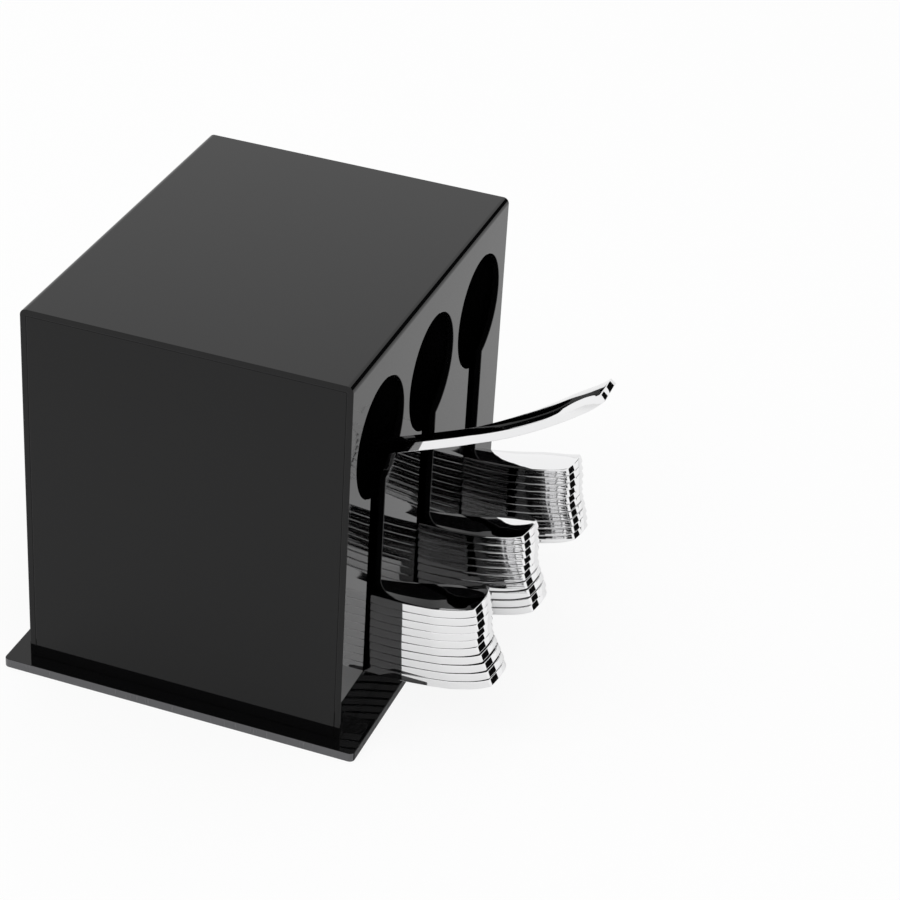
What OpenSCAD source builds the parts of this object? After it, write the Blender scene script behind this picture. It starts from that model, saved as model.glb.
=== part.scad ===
// Countertop cutlery dispenser: an acrylic case on a wider base plate, with three keyholes
// that hold a column of forks each and let them out one at a time through the round part.
// Millimetres, Z up. The keyholes face -Y, left is -X, and the origin is the middle of the
// base plate's underside.

/* [Case] */
// Room behind the tines of the fork that reaches furthest in
back_room = 12.7; // [4:0.1:60]
// Height of the case above the base plate
case_h = 186; // [180:1:230]
// Thickness of the sheet that is bent into front, top and back
sheet_t = 3; // [2:0.5:4]
// Outside radius of the two bends
bend_r = 3; // [1:0.5:8]
// Thickness of the two side panels
side_t = 3; // [2:0.5:4]
// Thickness of the two dividers
divider_t = 3; // [2:0.5:3.5]

/* [Base plate] */
// Thickness of the base plate
base_t = 4.5; // [3:0.5:8]
// How far the base plate stands out beyond each side
base_side = 8; // [0:0.5:20]
// How far the base plate stands out beyond the front and the back
base_front = 10; // [0:0.5:25]
// Radius of the base plate's corners
base_corner_r = 2.5; // [0.5:0.5:10]

/* [Keyholes] */
// Diameter of the round part of a keyhole
circle_d = 56; // [50:1:62]
// Width of the front between two round parts
web_w = 7; // [5:0.5:12]
// Width of the front beside the outermost round parts
margin_w = 7.5; // [6:0.5:14]
// How far the middle of the round part is below the top of the case
circle_drop = 44; // [38:1:52]
// Width of the slot below the round part
slot_w = 18; // [12:1:22]

/* [Columns] */
// How many forks lie in each column
per_column = 10; // [2:1:12]
// Gap between two forks that lie on each other
stack_gap = 0.4; // [0.4:0.05:0.8]
// Gap between a fork and what carries it
seat_gap = 0.3; // [0.2:0.1:0.5]
// How far the forks' tips stand out from the front
handle_out = 55.3; // [53:0.1:62]
// How much further each fork of the left column stands out than that, from the top down
left_stagger = [0, 0.7, 1.4, 1.4, 1.6, 2.4, 4.2, 6.2, 8, 9.3];
// The same for the middle column
middle_stagger = [1, 1.6, 2.1, 2, 2, 2.6, 3.8, 5.4, 6.8, 7.4];
// The same for the right column
right_stagger = [2, 2.6, 3.2, 3.2, 3.4, 4.1, 5.2, 6.3, 7, 7.4];
// How far the lowest fork of the left, middle and right column leans onto its right edge, in degrees
lowest_lean = [0, 0, 7];
// How far the top fork of each column leans
top_lean = [0, 4, 7];

/* [Fork widths] */
// Width of the handle at its widest place
handle_w = 23; // [20:0.2:26]
// Distance from the handle's end to its widest place
wide_l = 21.7; // [16:0.1:28]
// Width between the two corners of the handle's end
handle_end_w = 19.2; // [17:0.2:19.8]
// Radius of the handle's end, seen from above
handle_end_r = 17.3; // [12:0.1:30]
// Distance from the handle's end to its waist
waist_l = 68; // [50:1:75]
// Width at the waist
waist_w = 10; // [9:0.2:11]
// Width at the neck
neck_w = 8.6; // [7:0.2:9]
// Length of the head from the neck to the tines' ends
head_l = 72; // [68:1:76]
// Length of the shoulders, over which the neck widens to the head
shoulder_l = 20; // [14:1:24]
// Length of the tines
tine_l = 44; // [36:1:46]
// Width of one tine
tine_w = 4; // [3.4:0.1:4.2]
// Gap between two tines
tine_gap = 2.9; // [2:0.1:3]

/* [Fork profile] */
// Height of the metal at the handle's end
tip_t = 3.55; // [3:0.05:4]
// Height of the metal at the neck
neck_t = 4.45; // [4:0.05:4.9]
// Height of the metal at the head
head_t = 2.2; // [1.6:0.1:2.8]
// Radius of the handle's sweep up to its end
handle_r = 204; // [180:1:220]
// Angle of that sweep
handle_bend = 14; // [12:0.5:16]
// Length of the straight stretch after that sweep
handle_straight = 16; // [12:1:20]
// Radius of the curl at the handle's end
curl_r = 40; // [34:1:50]
// Angle of the curl
curl_bend = 18; // [13:0.5:22]
// Radius of the shank's slight rise towards the neck
shank_r = 980; // [800:10:1200]
// Angle of that rise
shank_bend = 3; // [2:0.1:3.4]
// Radius of the neck's rise
neck_r = 90; // [60:1:120]
// Angle of that rise
neck_bend = 3; // [1:0.5:4]
// Radius over the heel
heel_r = 60; // [50:1:80]
// Angle over the heel
heel_bend = 16; // [12:0.5:18]
// Radius of the tines' curve down
tine_r = 110; // [95:1:120]
// Angle of that curve
tine_bend = 27.3; // [22:0.1:29]

/* [Drawn fork] */
// Length of the drawn fork from its tip to where it passes the front
drawn_l = 108.6; // [102:0.2:110]
// How far the drawn fork tips up
drawn_tilt = 20; // [16:0.5:22]
// How far the drawn fork turns towards the middle
drawn_turn = 5; // [4:0.5:6]
// How far the drawn fork rolls onto its edge that lies on the rim
drawn_roll = 6; // [0:0.5:8]
// How far below the middle of the round part the drawn fork passes the front
drawn_below = 13; // [10:0.5:16]

/* [Hidden] */
columns = ["left", "middle", "right"];
staggers = [left_stagger, middle_stagger, right_stagger];

acrylic = "#202022";
metal = "#c9cacc";
smooth = 96;                                  // facets of a full circle, for display
past = 1;                                     // how far a cut runs past the face it opens
bend_step = 3.5;                              // largest turn between two points of a profile

// A fork's centre line runs through [distance, height] points. It is two runs of stretches that
// leave the handle's lowest point: one out to the handle's end, and one in to the tines' ends.
// A stretch is an arc, given as [radius, angle], or is straight, given as [length, 0]. A
// positive angle turns upwards.
handle_stretches = [[handle_r, handle_bend], [handle_straight, 0], [curl_r, curl_bend]];
head_stretches = [[shank_r, shank_bend], [neck_r, neck_bend], [heel_r, -heel_bend], [tine_r, -tine_bend]];

// The point at a share of a stretch
function along(stretch, share, start, heading) =
    let (size = stretch[0], turned = heading + stretch[1] * share)
    stretch[1] == 0 ? start + size * share * [cos(heading), sin(heading)] :
    start + sign(stretch[1]) * size * [sin(turned) - sin(heading), cos(heading) - cos(turned)];

function run(stretches, i = 0, start = [0, 0], heading = 0) =
    i == len(stretches) ? [start] :
    let (stretch = stretches[i], steps = max(1, ceil(abs(stretch[1]) / bend_step)))
    concat([for (k = [0 : steps - 1]) along(stretch, k / steps, start, heading)],
           run(stretches, i + 1, along(stretch, 1, start, heading), heading + stretch[1]));

function backwards(list) = [for (i = [len(list) - 1 : -1 : 0]) list[i]];

handle_run = run(handle_stretches);
head_run = run(head_stretches);
tip_y = -handle_run[len(handle_run) - 1][0];
tip_z = handle_run[len(handle_run) - 1][1];
tine_end = head_run[len(head_run) - 1];
neck_y = tine_end[0] - head_l;
centre_line = concat([for (p = backwards(handle_run)) [-p[0], p[1]]],
                     [for (i = [1 : len(head_run) - 1]) head_run[i]]);

head_w = 4 * tine_w + 3 * tine_gap;
stack_pitch = tip_t + stack_gap;
// The metal is thicker at the neck than at the handle's end, so each fork lies a little steeper
// than the one below it.
stack_fan = atan((neck_t - tip_t) / (neck_y - tip_y));

column_pitch = circle_d + web_w;
case_w = 2 * column_pitch + circle_d + 2 * margin_w;
case_d = tine_end[0] - tip_y - handle_out + back_room + sheet_t;
front_y = -case_d / 2;
inner_d = case_d - 2 * sheet_t;
inner_h = case_h - sheet_t;
inside_r = max(bend_r - sheet_t, 0);
circle_z = base_t + case_h - circle_drop;

// Height of a fork's underside where it passes y, above its centre line's lowest point, with
// its handle's end at a distance out from the front
function underside(y, out) =
    let (place = y - front_y + out + tip_y) lookup(place, centre_line) - metal_t(place) / 2;

// The metal's height, and half its width, at a distance along the fork
function metal_t(y) = lookup(y, [[tip_y, tip_t], [neck_y, neck_t], [neck_y + shoulder_l, head_t]]);
function half_w(y) = lookup(y, handle_side);

// Where the handle's side meets its round end, and the radius that the side bulges with
corner_l = handle_end_r - sqrt(pow(handle_end_r, 2) - pow(handle_end_w / 2, 2));
bulge_l = wide_l - corner_l;
bulge_w = (handle_w - handle_end_w) / 2;
bulge_r = (pow(bulge_l, 2) + pow(bulge_w, 2)) / (2 * bulge_w);
bulge_steps = 10;
// The handle's side from its end to the neck, as [distance, half width] points
handle_side = concat(
    [[tip_y, handle_end_w / 2]],
    [for (k = [0 : bulge_steps]) let (short = bulge_l * (1 - k / bulge_steps))
        [tip_y + wide_l - short, handle_w / 2 - bulge_r + sqrt(pow(bulge_r, 2) - pow(short, 2))]],
    [[tip_y + waist_l, waist_w / 2], [neck_y + past, neck_w / 2]]);

// An upright column rests with the lowest fork's handle on the slot's lower end and its tines
// on the base plate, so the slot's height follows from the fork's profile.
lowest_out = handle_out + max([for (list = staggers) list[len(list) - 1]]);
lowest_z = base_t + seat_gap - tine_end[1] + head_t / 2;
slot_z = lowest_z + underside(front_y + sheet_t, lowest_out) - seat_gap;

module bent_sheet() {
    color(acrylic) difference() {
        rotate([90, 0, 90]) linear_extrude(case_w, center = true) bent_profile();
        for (x = [-1 : 1]) translate([x * column_pitch, 0, 0]) keyhole();
    }
}

// Front, top and back of the case in one bend, open below: [depth, height]
module bent_profile() {
    translate([0, base_t]) difference() {
        arch(case_d, case_h, bend_r);
        translate([0, -past]) arch(inner_d, inner_h + past, inside_r);
    }
}

// An upright rectangle, w wide, whose two top corners are rounded where r is over 0
module arch(w, h, r) {
    translate([-w / 2, 0]) square([w, h - r]);
    translate([r - w / 2, 0]) square([w - 2 * r, h]);
    if (r > 0) for (side = [-1, 1]) translate([side * (w / 2 - r), h - r]) circle(r, $fn = smooth);
}

// What is cut from the front: a round part over a slot with a square end
module keyhole() {
    through = sheet_t + 2 * past;
    translate([0, front_y - past, 0]) {
        translate([0, 0, circle_z]) rotate([-90, 0, 0]) cylinder(through, d = circle_d, $fn = smooth);
        translate([-slot_w / 2, 0, slot_z]) cube([slot_w, through, circle_z - slot_z]);
    }
}

module side_panel(side) {
    color(acrylic) translate([side * (case_w - side_t) / 2, 0, 0]) upright_sheet(side_t);
}

module divider(side) {
    color(acrylic) translate([side * column_pitch / 2, 0, 0]) upright_sheet(divider_t);
}

// A sheet that fills the case from the base plate to the top and from front to back
module upright_sheet(t) {
    translate([0, 0, base_t]) rotate([90, 0, 90]) linear_extrude(t, center = true)
        arch(inner_d, inner_h, inside_r);
}

module base_plate() {
    w = case_w + 2 * base_side;
    d = case_d + 2 * base_front;
    color(acrylic) linear_extrude(base_t) {
        square([w, d - 2 * base_corner_r], center = true);
        square([w - 2 * base_corner_r, d], center = true);
        for (x = [-1, 1]) for (y = [-1, 1])
            translate([x * (w / 2 - base_corner_r), y * (d / 2 - base_corner_r)])
                circle(base_corner_r, $fn = smooth);
    }
}

// A fork, face down: its handle ends at -Y and its centre line's lowest point is the origin
module fork() {
    tall = 200;
    color(metal) intersection() {
        translate([0, 0, -tall / 2]) linear_extrude(tall) fork_outline();
        rotate([90, 0, 90]) linear_extrude(handle_w + head_w, center = true) fork_profile();
    }
}

// The metal's side view
module fork_profile() {
    polygon(concat([for (p = centre_line) p + [0, metal_t(p[0]) / 2]],
                   [for (p = backwards(centre_line)) p - [0, metal_t(p[0]) / 2]]));
}

// The fork seen from above
module fork_outline() {
    intersection() {
        mirrored_outline(handle_side);
        union() {
            translate([0, tip_y + handle_end_r]) circle(handle_end_r, $fn = smooth);
            translate([-handle_w, tip_y + handle_end_r]) square([2 * handle_w, neck_y - tip_y]);
        }
    }
    difference() {
        tined_head();
        for (i = [-1 : 1]) translate([i * (tine_w + tine_gap), tine_end[0] - tine_l]) {
            circle(tine_gap / 2, $fn = smooth / 2);
            translate([-tine_gap / 2, 0]) square([tine_gap, tine_l + past]);
        }
    }
}

// Shoulders, palm and the four round-ended tines, before the gaps are cut
module tined_head() {
    steps = 8;
    mirrored_outline(concat(
        [for (i = [0 : steps]) [neck_y + shoulder_l * i / steps,
                                (neck_w + (head_w - neck_w) * (1 - cos(180 * i / steps)) / 2) / 2]],
        [[tine_end[0] - tine_w / 2, head_w / 2]]));
    for (i = [-1.5 : 1.5]) translate([i * (tine_w + tine_gap), tine_end[0] - tine_w / 2])
        circle(tine_w / 2, $fn = smooth / 2);
}

// The shape between a run of [y, half width] points and its mirror image
module mirrored_outline(points) {
    polygon(concat([for (p = points) [p[1], p[0]]], [for (p = backwards(points)) [-p[1], p[0]]]));
}

// Fork i of a column, counted from the bottom. A fork leans about its right edge, so that the
// lowest one's tines keep the seat's gap above the base plate and no gap closes above it. Its
// steeper lie turns about the end of its centre line at the handle.
module stacked_fork(column, i) {
    from_top = per_column - i;
    stagger = staggers[column];
    lean = lowest_lean[column] + (top_lean[column] - lowest_lean[column]) * (i - 1) / (per_column - 1);
    out = handle_out + stagger[min(from_top, len(stagger) - 1)];
    z = lowest_z + head_w / 2 * sin(lean) + (i - 1) * stack_pitch;
    translate([(column - 1) * column_pitch, front_y - out, z + tip_z]) rotate([(i - 1) * stack_fan, 0, 0])
        rotate([0, lean, 0]) translate([0, -tip_y, -tip_z]) fork();
}

// The drawn fork leans in the round part of the left keyhole, with the edge of its shank on
// the rim. It is placed by the point of its centre line that passes the middle of the front.
module drawn_fork() {
    pass_y = tip_y + drawn_l;
    edge_drop = drawn_below + metal_t(pass_y) / 2 / cos(drawn_tilt) + sheet_t / 2 * tan(drawn_tilt)
        + half_w(pass_y) * sin(drawn_roll);
    rim_x = sqrt(pow(circle_d / 2, 2) - pow(edge_drop, 2));
    pass_x = rim_x - column_pitch - seat_gap - half_w(pass_y);
    translate([pass_x, front_y + sheet_t / 2, circle_z - drawn_below])
        rotate([-drawn_tilt, 0, drawn_turn]) rotate([0, drawn_roll, 0])
            translate([0, -pass_y, -lookup(pass_y, centre_line)]) fork();
}

bent_sheet();
side_panel(-1);  // left_side_panel
side_panel(1);  // right_side_panel
base_plate();
divider(-1);  // left_divider
divider(1);  // right_divider
for (column = [0 : 2]) for (i = [1 : per_column])
    stacked_fork(column, i);
drawn_fork();
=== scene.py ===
import bmesh
import bpy
from math import asin, cos, pi, radians, sin, sqrt
from mathutils import Matrix, Vector


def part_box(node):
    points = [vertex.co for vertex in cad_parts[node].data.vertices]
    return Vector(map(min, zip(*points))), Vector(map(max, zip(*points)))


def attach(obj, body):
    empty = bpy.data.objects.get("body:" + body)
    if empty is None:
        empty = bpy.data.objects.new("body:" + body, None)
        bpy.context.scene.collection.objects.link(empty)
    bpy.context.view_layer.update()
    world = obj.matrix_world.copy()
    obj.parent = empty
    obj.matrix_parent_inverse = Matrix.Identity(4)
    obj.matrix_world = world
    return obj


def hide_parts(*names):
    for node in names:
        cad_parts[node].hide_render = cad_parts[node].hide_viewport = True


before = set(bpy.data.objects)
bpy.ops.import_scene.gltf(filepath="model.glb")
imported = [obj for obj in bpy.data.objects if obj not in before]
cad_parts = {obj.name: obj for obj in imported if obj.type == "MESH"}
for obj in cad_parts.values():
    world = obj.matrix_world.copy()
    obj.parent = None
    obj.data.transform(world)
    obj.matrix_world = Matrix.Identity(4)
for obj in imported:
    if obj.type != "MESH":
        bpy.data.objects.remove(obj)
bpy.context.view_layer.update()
print("frame loaded:", len(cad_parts), "pieces")

mm = 0.001
columns = ("left", "middle", "right")

cameraView = {
    "place": (-1.02446, -0.43307, 0.77831),
    "azimuth": -71.47,      # degrees, 0 looks along +Y
    "elevation": 31.84,
    "roll": 3.64,
    "lens": 109.85,         # millimetres, for a sensor 36 mm wide
}


def placeCamera(view):
    azimuth, elevation, roll = (radians(view[key]) for key in ("azimuth", "elevation", "roll"))
    back = Vector((sin(azimuth) * cos(elevation), -cos(azimuth) * cos(elevation), sin(elevation)))
    right = Matrix.Rotation(roll, 3, back) @ Vector((0, 0, 1)).cross(back).normalized()
    up = back.cross(right)
    camera = bpy.data.objects.new("camera", bpy.data.cameras.new("camera"))
    camera.data.lens = view["lens"]
    camera.data.sensor_width = 36
    axes = Matrix((right, up, back)).transposed().to_4x4()
    camera.matrix_world = Matrix.Translation(view["place"]) @ axes
    bpy.context.scene.collection.objects.link(camera)
    bpy.context.scene.camera = camera


placeCamera(cameraView)
print("camera placed")


def material(name, color, metallic, roughness, ior):
    made = bpy.data.materials.new(name)
    made.use_nodes = True
    shader = made.node_tree.nodes["Principled BSDF"]
    shader.inputs["Base Color"].default_value = (*color, 1)
    shader.inputs["Metallic"].default_value = metallic
    shader.inputs["Roughness"].default_value = roughness
    shader.inputs["IOR"].default_value = ior
    return made, made.node_tree.nodes, made.node_tree.links, shader


def noise(nodes, links, scale, detail, stretch=(1, 1, 1)):
    place = nodes.new("ShaderNodeTexCoord")
    mapping = nodes.new("ShaderNodeMapping")
    mapping.inputs["Scale"].default_value = stretch
    texture = nodes.new("ShaderNodeTexNoise")
    texture.inputs["Scale"].default_value = scale
    texture.inputs["Detail"].default_value = detail
    links.new(place.outputs["Object"], mapping.inputs["Vector"])
    links.new(mapping.outputs["Vector"], texture.inputs["Vector"])
    return texture.outputs["Fac"]


def spread(nodes, links, value, low, high, start=0.35, end=0.7):     # noise to a range of values
    remap = nodes.new("ShaderNodeMapRange")
    remap.inputs["From Min"].default_value = start
    remap.inputs["From Max"].default_value = end
    remap.inputs["To Min"].default_value = low
    remap.inputs["To Max"].default_value = high
    links.new(value, remap.inputs["Value"])
    return remap.outputs["Result"]


def bump(nodes, links, shader, height, distance, strength=1):
    node = nodes.new("ShaderNodeBump")
    node.inputs["Distance"].default_value = distance
    node.inputs["Strength"].default_value = strength
    links.new(height, node.inputs["Height"])
    links.new(node.outputs["Normal"], shader.inputs["Normal"])


acrylic = {
    "color": (0.0022, 0.0022, 0.0024),
    "ior": 1.35,
    "polish": (0.012, 0.04),        # roughness, wiped clean to smudged
    "smudgeScale": 22,
    "wave": 0.00002,                # how deep the cast sheet's slow waves are
    "waveScale": 9,
}


def glossAcrylic(settings):
    made, nodes, links, shader = material("gloss_acrylic", settings["color"], 0, 0.02, settings["ior"])
    smudges = noise(nodes, links, settings["smudgeScale"], 5)
    links.new(spread(nodes, links, smudges, *settings["polish"]), shader.inputs["Roughness"])
    waves = noise(nodes, links, settings["waveScale"], 0)
    bump(nodes, links, shader, waves, settings["wave"])
    return made


edge = {
    "color": (0.10, 0.10, 0.105),
    "ior": 1.45,
    "polish": (0.16, 0.3),
    "sawScale": 900,
    "sawStretch": (1, 1, 0.1),
    "sawDepth": 0.00002,
    "sawStrength": 0.3,
}
shadedEdge = dict(edge, color=(0.012, 0.012, 0.013), ior=1.18)         # painted shade: a darker, less shiny copy of the sawn edge for the front and the back


def sawnEdge(name, settings):
    made, nodes, links, shader = material(name, settings["color"], 0, 0.2, settings["ior"])
    marks = noise(nodes, links, settings["sawScale"], 3, settings["sawStretch"])
    links.new(spread(nodes, links, marks, *settings["polish"]), shader.inputs["Roughness"])
    bump(nodes, links, shader, marks, settings["sawDepth"], settings["sawStrength"])
    return made


steel = {
    "color": (0.86, 0.86, 0.865),
    "ior": 1.5,
    "polish": (0.02, 0.05),
    "wipeScale": 60,
    "wipeStretch": (3, 0.6, 3),
    "wave": 0.000015,
    "waveScale": 45,
}


def polishedSteel(settings):
    made, nodes, links, shader = material("polished_steel", settings["color"], 1, 0.03, settings["ior"])
    wipes = noise(nodes, links, settings["wipeScale"], 4, settings["wipeStretch"])
    links.new(spread(nodes, links, wipes, *settings["polish"]), shader.inputs["Roughness"])
    waves = noise(nodes, links, settings["waveScale"], 0)
    bump(nodes, links, shader, waves, settings["wave"])
    return made


acrylicLook = glossAcrylic(acrylic)
edgeLook = sawnEdge("sawn_edge", edge)
# the darker copy of the sawn edge is painted shade for the base plate's front and back edges
shadedEdgeLook = sawnEdge("shaded_edge", shadedEdge)
steelLook = polishedSteel(steel)
print("materials made")


finish = {
    "flatWithin": 0.999999,         # a face this square to an axis keeps one flat normal
    "roundingSteps": 2,
    "roundingAngle": 40,            # degrees, an edge sharper than this is rounded
}


def movedVerts(made):
    return [item for item in made if isinstance(item, bmesh.types.BMVert)]


def movedEdges(made):
    return [item for item in made if isinstance(item, bmesh.types.BMEdge)]


def finishPiece(bm, name, looks, body, nodes, rounding=None):
    mesh = bpy.data.meshes.new(name)
    bm.to_mesh(mesh)
    bm.free()
    for face in mesh.polygons:
        face.use_smooth = max(abs(part) for part in face.normal) < finish["flatWithin"]
    piece = bpy.data.objects.new(name, mesh)
    bpy.context.scene.collection.objects.link(piece)
    for look in looks:
        mesh.materials.append(look)
    if rounding:
        bevel = piece.modifiers.new("rounding", "BEVEL")
        bevel.width = rounding
        bevel.segments = finish["roundingSteps"]
        bevel.loop_slide = False                     # keeps the rounding even round the keyholes
        bevel.limit_method = "ANGLE"
        bevel.angle_limit = radians(finish["roundingAngle"])
    weighted = piece.modifiers.new("flat faces", "WEIGHTED_NORMAL")
    weighted.weight = 100
    weighted.keep_sharp = True
    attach(piece, body)
    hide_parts(*nodes)
    return piece


def spinEdges(bm, edges, centre, angle, steps):      # about X; returns the last edges
    made = bmesh.ops.spin(bm, geom=edges, cent=centre, axis=(1, 0, 0), angle=angle, steps=steps,
                          dvec=(0, 0, 0), use_merge=False, use_normal_flip=False, use_duplicate=False)
    return movedEdges(made["geom_last"])


def extrudeEdges(bm, edges, move):
    made = bmesh.ops.extrude_edge_only(bm, edges=edges)["geom"]
    bmesh.ops.translate(bm, verts=movedVerts(made), vec=move)
    return movedEdges(made)


sheet = {
    "thick": 3 * mm,
    "bendRadius": 3 * mm,
    "bendSteps": 8,
    "circleWidth": 56 * mm,
    "circleDrop": 44 * mm,          # from the top of the case to the middle of the round part
    "columnPitch": 63 * mm,
    "slotWidth": 18 * mm,
    "slotBottom": 23.55 * mm,
    "circleSteps": 96,
    "rounding": 0.3 * mm,
    "mergeWithin": 0.001 * mm,
}


def keyholeEdges(bm, x, y, circleZ, settings):
    radius, half = settings["circleWidth"] / 2, settings["slotWidth"] / 2
    gap = asin(half / radius)
    corner = bm.verts.new((x + half, y, circleZ - radius * cos(gap)))
    made = bmesh.ops.spin(bm, geom=[corner], cent=(x, y, circleZ), axis=(0, -1, 0),
                          angle=2 * pi - 2 * gap, steps=settings["circleSteps"], dvec=(0, 0, 0))
    farCorner = movedVerts(made["geom_last"])[0]
    bottom = [bm.verts.new((x + side * half, y, settings["slotBottom"])) for side in (1, -1)]
    for pair in ((corner, bottom[0]), (bottom[0], bottom[1]), (bottom[1], farCorner)):
        bm.edges.new(pair)


def bentSheet(settings):
    low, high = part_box("bent_sheet")
    thick, radius = settings["thick"], settings["bendRadius"]
    bendZ, topFront, topBack = high.z - radius, low.y + radius, high.y - radius
    circleZ = high.z - settings["circleDrop"]
    bm = bmesh.new()
    corners = [bm.verts.new(place) for place in (
        (low.x, low.y, low.z), (high.x, low.y, low.z), (high.x, low.y, bendZ), (low.x, low.y, bendZ))]
    for i in range(4):
        bm.edges.new((corners[i], corners[(i + 1) % 4]))
    for x in (-1, 0, 1):
        keyholeEdges(bm, x * settings["columnPitch"], low.y, circleZ, settings)
    bmesh.ops.triangle_fill(bm, use_beauty=True, use_dissolve=False, edges=bm.edges[:],
                            normal=(0, -1, 0))
    made = bmesh.ops.extrude_face_region(bm, geom=bm.faces[:])["geom"]
    bmesh.ops.translate(bm, verts=movedVerts(made), vec=(0, thick, 0))
    bm.normal_update()
    near = settings["mergeWithin"]
    cap = [face for face in bm.faces if all(abs(v.co.z - bendZ) < near for v in face.verts)]
    rim = cap[0].edges[:]
    bmesh.ops.delete(bm, geom=cap, context="FACES_ONLY")
    rim = spinEdges(bm, rim, (0, topFront, bendZ), -pi / 2, settings["bendSteps"])
    rim = extrudeEdges(bm, rim, (0, topBack - topFront, 0))
    rim = spinEdges(bm, rim, (0, topBack, bendZ), -pi / 2, settings["bendSteps"])
    rim = extrudeEdges(bm, rim, (0, 0, low.z - bendZ))
    bmesh.ops.edgeloop_fill(bm, edges=rim)
    bmesh.ops.remove_doubles(bm, verts=bm.verts[:], dist=near)
    bmesh.ops.dissolve_degenerate(bm, edges=bm.edges[:], dist=near)
    bmesh.ops.recalc_face_normals(bm, faces=bm.faces[:])
    finishPiece(bm, "sheet", [acrylicLook], "case", ["bent_sheet"],
                settings["rounding"])


bentSheet(sheet)
print("bent sheet made")

flats = {
    "rounding": 0.3 * mm,
    "baseCorner": 2.5 * mm,
    "baseCornerSteps": 6,
}


def boxMesh(low, high):
    bm = bmesh.new()
    bmesh.ops.create_cube(bm, size=1)
    bmesh.ops.scale(bm, vec=high - low, verts=bm.verts[:])
    bmesh.ops.translate(bm, vec=(high + low) / 2, verts=bm.verts[:])
    return bm


def flatSheet(name, node, settings):
    finishPiece(boxMesh(*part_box(node)), name, [acrylicLook], "case", [node],
                settings["rounding"])


def basePlate(settings):
    bm = boxMesh(*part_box("base_plate"))
    upright = [e for e in bm.edges if abs((e.verts[0].co - e.verts[1].co).normalized().z) > 0.9]
    bmesh.ops.bevel(bm, geom=upright, offset=settings["baseCorner"],
                    segments=settings["baseCornerSteps"], affect="EDGES", profile=0.5, material=-1)
    bm.normal_update()
    looks = [acrylicLook, edgeLook, shadedEdgeLook]
    # the front and back edges take the darker copy of the sawn edge, painted shade
    for face in bm.faces:
        if abs(face.normal.z) > 0.5:
            face.material_index = looks.index(acrylicLook)
        elif abs(face.normal.x) > 0.5:
            face.material_index = looks.index(edgeLook)
        else:
            face.material_index = looks.index(shadedEdgeLook)
    finishPiece(bm, "plate", looks, "case", ["base_plate"], settings["rounding"])


for side in ("left", "right"):
    flatSheet(side + "_side", side + "_side_panel", flats)
    flatSheet(side + "_partition", side + "_divider", flats)
basePlate(flats)
print("flat sheets made")

fork = {                            # millimetres and degrees, made mesh size at the end
    # each stretch is [radius, degrees turned], or [length, 0] where it is straight
    "handleRun": ((204, 14), (16, 0), (40, 18)),
    "headRun": ((980, 3), (90, 3), (60, -16), (110, -27.3)),
    "handleWidth": 23,
    "widestAt": 21.7,
    "endWidth": 19.2,
    "endRadius": 17.3,
    "waistAt": 68,
    "waistWidth": 10,
    "neckWidth": 8.6,
    "headLength": 72,
    "shoulder": 20,
    "tineLength": 44,
    "tineWidth": 4,
    "tineGap": 2.9,
    "tineTaper": 0.2,
    "tineBlunt": 0.02,              # keeps the tines' ends from closing to a point
    "tipThick": 3.8,
    "neckThick": 4.7,
    "headThick": 2.2,
    "bowRadius": 42,                # the handle's section is bowed, hollow below
    "draft": 4.5,                   # how far the handle's sides lean in towards the top
    "rounding": 0.35,
    "rimAngle": 50,                 # degrees, an edge sharper than this is rounded
    "creaseAngle": 35,              # a less sharp one than this is shaded smooth
    "endLength": 7,
    "rootRows": 4,                  # rows that the round ends of the gaps pull back
    "endRows": 5,
    "handleRows": 48,
    "shoulderRows": 10,
    "tineRows": 20,
    "tipRows": 5,
}
stack = {
    "lean": {"left": (0, 0), "middle": (0, 4), "right": (7, 7)},     # lowest and top fork
    "fan": 0.4137,                  # how much steeper each fork lies than the one below
}
drawn = {"tilt": 20, "turn": 5, "roll": 6}       # how the fork that is being drawn leans


def onRun(run, distance):        # height and heading at a distance from the handle's lowest point
    start, height, heading = 0, 0, 0
    for size, turn in run:
        if turn == 0:
            reach = size * cos(heading)
            if distance <= start + reach:
                return height + (distance - start) * sin(heading) / cos(heading), heading
            height += size * sin(heading)
        else:
            bend = 1 if turn > 0 else -1
            final = heading + radians(turn)
            reach = bend * size * (sin(final) - sin(heading))
            if distance <= start + reach or (size, turn) == run[-1]:
                here = asin(sin(heading) + bend * (distance - start) / size)
                return height + bend * size * (cos(heading) - cos(here)), here
            height += bend * size * (cos(heading) - cos(final))
            heading = final
        start += reach


def runLength(run):
    heading, length = 0, 0
    for size, turn in run:
        final = heading + radians(turn)
        length += size * cos(heading) if turn == 0 else abs(size * (sin(final) - sin(heading)))
        heading = final
    return length


def blendBetween(value, points):
    for (x0, y0), (x1, y1) in zip(points, points[1:]):
        if value <= x1:
            return y0 + (y1 - y0) * max(0, (value - x0) / (x1 - x0))
    return points[-1][1]


def endSag(x, s):                      # how far the handle's round end falls back at x
    return s["endRadius"] - sqrt(s["endRadius"] ** 2 - min(abs(x), s["endWidth"] / 2) ** 2)


def handleHalf(along, s):              # half the handle's width at a distance from its end
    half, endHalf = s["handleWidth"] / 2, s["endWidth"] / 2
    corner = endSag(endHalf, s)
    bulge, reach = half - endHalf, s["widestAt"] - corner
    radius = (reach ** 2 + bulge ** 2) / (2 * bulge)
    if along < s["widestAt"]:
        return half - radius + sqrt(radius ** 2 - min(reach, s["widestAt"] - along) ** 2)
    return blendBetween(along, [(s["widestAt"], half), (s["waistAt"], s["waistWidth"] / 2),
                                (s["neckAt"], s["neckWidth"] / 2)])


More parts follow.
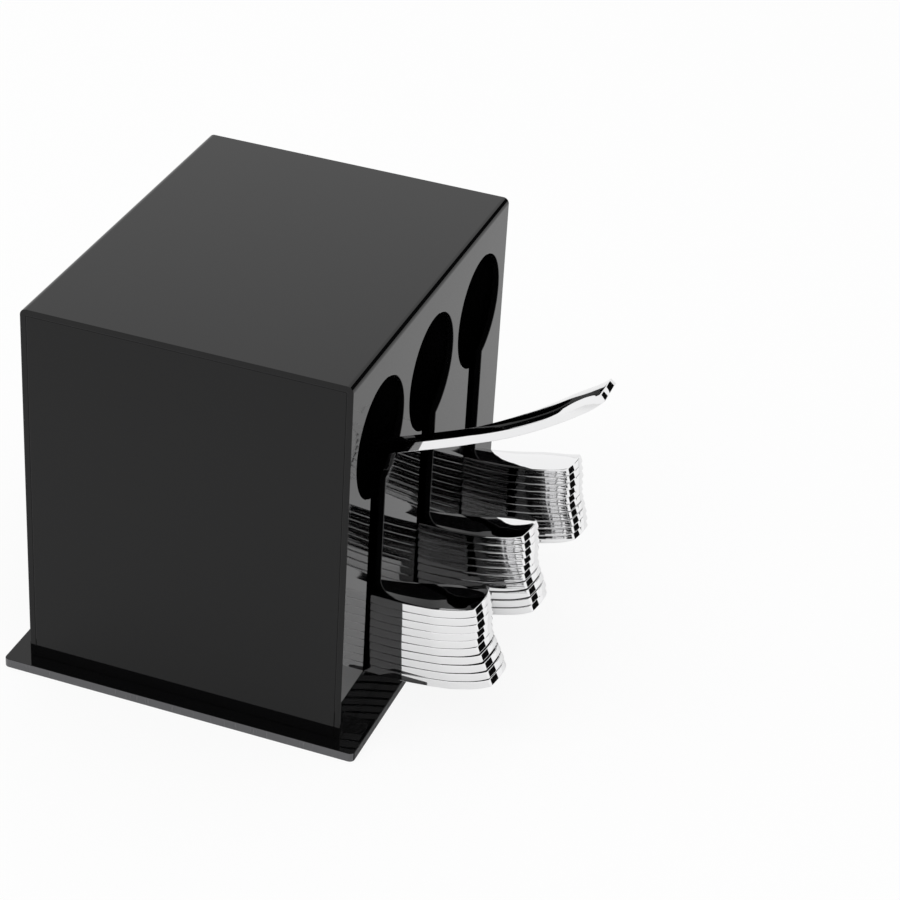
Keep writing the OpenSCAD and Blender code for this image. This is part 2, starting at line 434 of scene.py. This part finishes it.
def forkMesh(settings):
    s = dict(settings)
    tip, tines = -runLength(s["handleRun"]), runLength(s["headRun"])
    neck = tines - s["headLength"]
    root = tines - s["tineLength"]
    s["neckAt"] = neck - tip
    headHalf = (4 * s["tineWidth"] + 3 * s["tineGap"]) / 2
    strips = []                                      # [x, middle of the tine or gap, is a gap]
    x = -headHalf
    for i in range(7):
        width, parts = (s["tineGap"], 4) if i % 2 else (s["tineWidth"], 2)
        strips += [(x + width * k / parts, x + width / 2, i % 2) for k in range(parts)]
        x += width
    strips.append((headHalf, headHalf - s["tineWidth"] / 2, 0))
    across = len(strips) - 1
    rows = sum(s[key] for key in ("endRows", "handleRows", "shoulderRows", "tineRows", "tipRows"))
    neckRow = s["endRows"] + s["handleRows"]
    stations = [(0, tip), (s["endRows"], tip + s["endLength"]), (neckRow, neck),
                (neckRow + s["shoulderRows"], neck + s["shoulder"]),
                (rows - s["tipRows"], tines - s["tineWidth"] / 2), (rows, tines)]
    rootRow = min(range(rows + 1), key=lambda r: abs(blendBetween(r, stations) - root))

    bm = bmesh.new()
    bmesh.ops.create_grid(bm, x_segments=across, y_segments=rows, size=0.5)
    place = {}
    for v in bm.verts:
        place[v] = (round((v.co.x + 0.5) * across), round((v.co.y + 0.5) * rows))
    gaps = [f for f in bm.faces if min(place[v][1] for v in f.verts) >= rootRow
            and strips[min(place[v][0] for v in f.verts)][2]]
    bmesh.ops.delete(bm, geom=gaps, context="FACES")
    bm.verts.ensure_lookup_table()
    for v in bm.verts:
        i, r = place[v]
        stripX, middle, isGap = strips[i]
        y = blendBetween(r, stations)
        ends = max(0, 1 - r / s["endRows"])          # 1 at the handle's end, 0 past its round
        if y < neck:
            half = handleHalf(y + endSag(s["endWidth"] / 2, s) * ends - tip, s)
        elif y < neck + s["shoulder"]:
            share = (y - neck) / s["shoulder"]
            half = s["neckWidth"] / 2 + (headHalf - s["neckWidth"] / 2) * (1 - cos(pi * share)) / 2
        else:
            half = headHalf
        x = stripX / headHalf * half
        if y > root:
            tineMiddle = middle
            if isGap:                                # what is left of a gap is the edge of a tine
                tineMiddle = min((m for _, m, g in strips if not g), key=lambda m: abs(m - stripX))
            wide = 1 - s["tineTaper"] * (y - root) / (tines - root)
            into = max(0, (y - (tines - s["tineWidth"] / 2)) / (s["tineWidth"] / 2))
            x = tineMiddle + (stripX - tineMiddle) * wide * sqrt(max(s["tineBlunt"], 1 - into ** 2))
        elif isGap and r <= rootRow:
            dip = sqrt(max(0, (s["tineGap"] / 2) ** 2 - (stripX - middle) ** 2))
            y -= dip * max(0, 1 - (rootRow - r) / s["rootRows"])
        y += ends * endSag(x, s)
        v.co = (x, y, 0)
    made = bmesh.ops.extrude_face_region(bm, geom=bm.faces[:])["geom"]
    upper = set(movedVerts(made))
    tineSlope = onRun(s["headRun"], tines)[1]
    thickness = [(tip, s["tipThick"]), (neck, s["neckThick"]),
                 (neck + s["shoulder"], s["headThick"])]
    for v in bm.verts:
        x, y = v.co.x, v.co.y
        thick = blendBetween(y, thickness)
        bow = 0                                      # how far both faces rise above the edges
        if y < 0:
            height, heading = onRun(s["handleRun"], -y)
        else:
            y *= 1 + thick / 2 * cos(tineSlope) * sin(tineSlope) / tines       # keeps their reach
            height, heading = onRun(s["headRun"], y)
            heading = -heading
        if y < neck:
            half = handleHalf(y - tip, s)
            bow = (half ** 2 - x ** 2) / (2 * s["bowRadius"])
            if v in upper:
                x *= 1 - thick * sin(radians(s["draft"])) / half
        offset = thick / 2 * cos(heading) * (1 if v in upper else -1) + max(0, bow)
        v.co = (x, y + sin(heading) * offset, height + cos(heading) * offset)
    bmesh.ops.recalc_face_normals(bm, faces=bm.faces[:])
    bm.normal_update()
    rim = []
    for e in bm.edges:
        angle = e.calc_face_angle(0)
        if angle > radians(s["rimAngle"]):
            rim.append(e)
        else:
            e.smooth = angle < radians(s["creaseAngle"])
    bmesh.ops.bevel(bm, geom=rim, offset=s["rounding"], segments=2, affect="EDGES", profile=0.5,
                    material=-1, clamp_overlap=False)
    bmesh.ops.scale(bm, vec=(mm, mm, mm), verts=bm.verts[:])
    return bm


def placeFork(shape, node, turn, body):      # the tines' ends are where the frame has them
    bm = shape.copy()
    bmesh.ops.transform(bm, matrix=turn, verts=bm.verts[:])
    low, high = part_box(node)
    xs, ys, zs = zip(*(v.co for v in bm.verts))
    move = Vector(((low.x + high.x - min(xs) - max(xs)) / 2, high.y - max(ys), low.z - min(zs)))
    bmesh.ops.translate(bm, vec=move, verts=bm.verts[:])
    finishPiece(bm, node.replace("fork", "polished_fork"), [steelLook], body, [node])


def turned(degrees, axis):
    return Matrix.Rotation(radians(degrees), 4, axis)


forkShape = forkMesh(fork)
for column in columns:
    nodes = sorted((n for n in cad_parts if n.startswith(column + "_fork_")),
                   key=lambda n: int(n.split("_")[-1]))
    lowest, highest = stack["lean"][column]
    for i, node in enumerate(nodes):
        lean = lowest + (highest - lowest) * i / (len(nodes) - 1)
        body = column + "_top_fork" if node == nodes[-1] else "case"
        placeFork(forkShape, node, turned(i * stack["fan"], "X") @ turned(lean, "Y"), body)
drawnTurn = turned(drawn["turn"], "Z") @ turned(-drawn["tilt"], "X") @ turned(drawn["roll"], "Y")
placeFork(forkShape, "drawn_fork", drawnTurn, "drawn_fork")
forkShape.free()
print("forks made")

studio = {
    "floorSize": 12,
    "floorColor": (0.93, 0.93, 0.93),
    "floorShade": 0.12,             # how much of the floor's own light and shadow shows
    "floorShadeInGloss": 0.8,
    "worldLight": 0.85,
    "lampPower": 9,
    "lampSize": 1.4,
    "lampPlace": (-0.9, 0.5, 1.8),
}
flags = {                           # dark cards round the forks, seen only in reflections
    "front": {"middle": (-0.3, -2.5, 1.8), "width": 1.85, "height": 3.6, "turn": 0},
    "right": {"middle": (2.1, -1.55, 1.22), "width": 2.2, "height": 1.64, "turn": 54},
}


def seenDirectOrInGloss(nodes, links):
    path = nodes.new("ShaderNodeLightPath")
    seen = nodes.new("ShaderNodeMath")
    seen.operation = "MAXIMUM"
    links.new(path.outputs["Is Camera Ray"], seen.inputs[0])
    links.new(path.outputs["Is Glossy Ray"], seen.inputs[1])
    return seen.outputs["Value"], path.outputs["Is Glossy Ray"]


def darkFlag(name, settings, look):
    bm = bmesh.new()
    bmesh.ops.create_grid(bm, x_segments=1, y_segments=1, size=0.5)
    bmesh.ops.scale(bm, vec=(settings["width"], settings["height"], 1), verts=bm.verts[:])
    bmesh.ops.transform(bm, matrix=turned(settings["turn"], "Z") @ turned(90, "X"), verts=bm.verts[:])
    bmesh.ops.translate(bm, vec=settings["middle"], verts=bm.verts[:])
    mesh = bpy.data.meshes.new(name)
    bm.to_mesh(mesh)
    bm.free()
    mesh.materials.append(look)
    card = bpy.data.objects.new(name, mesh)
    bpy.context.scene.collection.objects.link(card)
    card.visible_camera = False
    card.visible_diffuse = False
    card.visible_transmission = False
    card.visible_shadow = False


def plainFloor(settings):
    bm = bmesh.new()
    bmesh.ops.create_grid(bm, x_segments=1, y_segments=1, size=settings["floorSize"] / 2)
    mesh = bpy.data.meshes.new("floor")
    bm.to_mesh(mesh)
    bm.free()
    floor = bpy.data.objects.new("floor", mesh)
    bpy.context.scene.collection.objects.link(floor)
    made, nodes, links, shader = material("white_floor", settings["floorColor"], 0, 0.9, 1.3)
    glow = nodes.new("ShaderNodeEmission")
    mix = nodes.new("ShaderNodeMixShader")
    shade = nodes.new("ShaderNodeMapRange")
    shade.inputs["To Min"].default_value = settings["floorShade"]
    shade.inputs["To Max"].default_value = settings["floorShadeInGloss"]
    output = nodes["Material Output"]
    links.new(glow.outputs["Emission"], mix.inputs[1])
    links.new(shader.outputs["BSDF"], mix.inputs[2])
    seen, inGloss = seenDirectOrInGloss(nodes, links)
    links.new(inGloss, shade.inputs["Value"])
    links.new(shade.outputs["Result"], mix.inputs["Fac"])
    choose = nodes.new("ShaderNodeMixShader")
    links.new(seen, choose.inputs["Fac"])
    links.new(shader.outputs["BSDF"], choose.inputs[1])
    links.new(mix.outputs["Shader"], choose.inputs[2])
    links.new(choose.outputs["Shader"], output.inputs["Surface"])
    mesh.materials.append(made)


def softLight(settings):
    world = bpy.data.worlds.new("studio")
    world.use_nodes = True
    bpy.context.scene.world = world
    nodes, links = world.node_tree.nodes, world.node_tree.links
    background = nodes["Background"]
    background.inputs["Color"].default_value = (1, 1, 1, 1)
    seen, _ = seenDirectOrInGloss(nodes, links)
    level = nodes.new("ShaderNodeMapRange")
    level.inputs["To Min"].default_value = settings["worldLight"]
    level.inputs["To Max"].default_value = 1
    links.new(seen, level.inputs["Value"])
    links.new(level.outputs["Result"], background.inputs["Strength"])
    lamp = bpy.data.objects.new("key", bpy.data.lights.new("key", "AREA"))
    lamp.data.energy = settings["lampPower"]
    lamp.data.size = settings["lampSize"]
    lamp.location = settings["lampPlace"]
    lamp.rotation_euler = (-Vector(settings["lampPlace"])).to_track_quat("-Z", "Y").to_euler()
    lamp.visible_glossy = False
    bpy.context.scene.collection.objects.link(lamp)
    bpy.context.scene.view_settings.view_transform = "Standard"


blackCard = material("black_card", (0.004, 0.004, 0.004), 0, 1, 1.05)[0]
for name, settings in flags.items():
    darkFlag(name + "_flag", settings, blackCard)
plainFloor(studio)
softLight(studio)
print("floor and light made")
